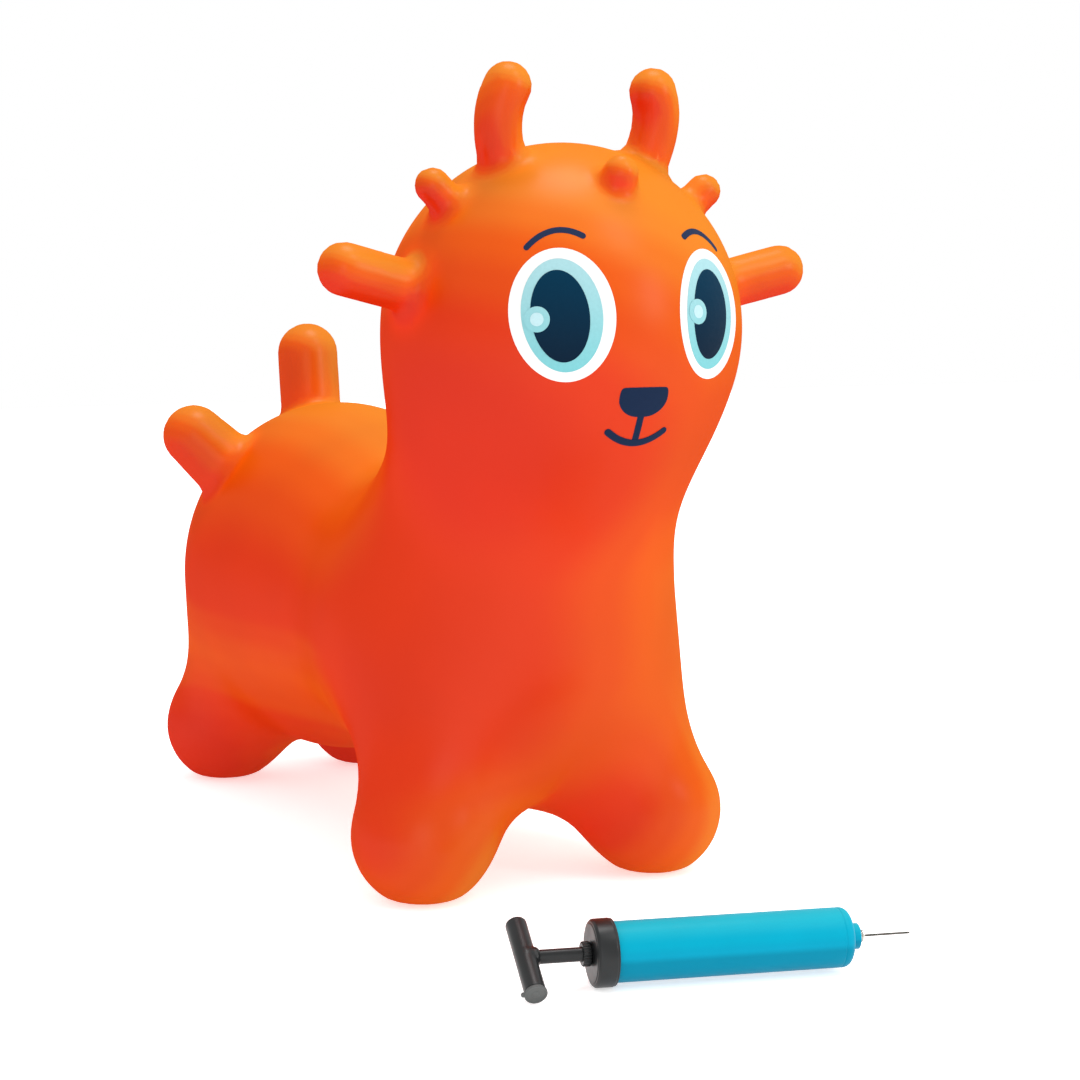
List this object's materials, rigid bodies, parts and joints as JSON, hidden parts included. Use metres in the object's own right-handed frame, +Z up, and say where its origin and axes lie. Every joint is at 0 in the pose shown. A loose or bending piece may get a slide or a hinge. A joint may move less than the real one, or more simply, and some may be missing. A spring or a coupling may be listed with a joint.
{
  "type": "animal hopper",
  "caption": "Inflatable ride-on animal with stub legs, antlers, ears, tail and a printed face, beside a hand pump whose plunger slides and whose needle and handle plug pull out.",
  "frame": {"origin": "Centre of the whole set's box in X and Y, on the floor plane under the soles.", "axes": "+Z is up, the animal faces -Y with its length along Y, and +X is the animal's left side."},
  "size_m": [0.3594, 0.7952, 0.5556],
  "materials": {
    "skin_vinyl": "soft satin vinyl skin",
    "valve_rubber": "matt black rubber",
    "white_ink": "printed white",
    "iris_ink": "printed pale teal",
    "pupil_ink": "printed dark blue",
    "dot_ink": "printed very pale teal",
    "brow_ink": "printed slate blue",
    "barrel_plastic": "smooth moulded turquoise",
    "black_plastic": "satin black moulding",
    "plug_plastic": "satin dark grey moulding",
    "needle_metal": "bright nickel plate"
  },
  "bodies": {
    "hopper": {"skin": "skin_vinyl", "valve_core": "valve_rubber", "eye_white_L": "white_ink", "eye_white_R": "white_ink", "eye_iris_L": "iris_ink", "eye_iris_R": "iris_ink", "eye_pupil_L": "pupil_ink", "eye_pupil_R": "pupil_ink", "eye_glint_L": "iris_ink", "eye_glint_R": "iris_ink", "eye_dot_L": "dot_ink", "eye_dot_R": "dot_ink", "brow_L": "brow_ink", "brow_R": "brow_ink", "nose": "pupil_ink", "lip_line": "pupil_ink", "mouth": "pupil_ink"},
    "pump": {"pump_barrel": "barrel_plastic", "barrel_cap": "black_plastic", "rod_guide": "black_plastic"},
    "plunger": {"plunger_rod": "black_plastic", "piston_ring": "valve_rubber", "handle_bar": "black_plastic"},
    "plug": {"handle_plug": "plug_plastic"},
    "needle": {"needle_hub": "needle_metal", "needle_tube": "needle_metal"}
  },
  "joints": [
    {"name": "pump_lift", "type": "slide", "parent": "hopper", "child": "pump", "axis": [0, 0, 1], "range_m": [0, 0.3]},
    {"name": "plunger_slide", "type": "slide", "parent": "pump", "child": "plunger", "axis": [0.9659, -0.2588, 0], "range_m": [-0.112, 0.025]},
    {"name": "plug_pull", "type": "slide", "parent": "plunger", "child": "plug", "axis": [-0.2315, -0.8641, -0.4468], "range_m": [0, 0.02]},
    {"name": "needle_pull", "type": "slide", "parent": "pump", "child": "needle", "axis": [0.9659, -0.2588, 0], "range_m": [0, 0.04]}
  ]
}
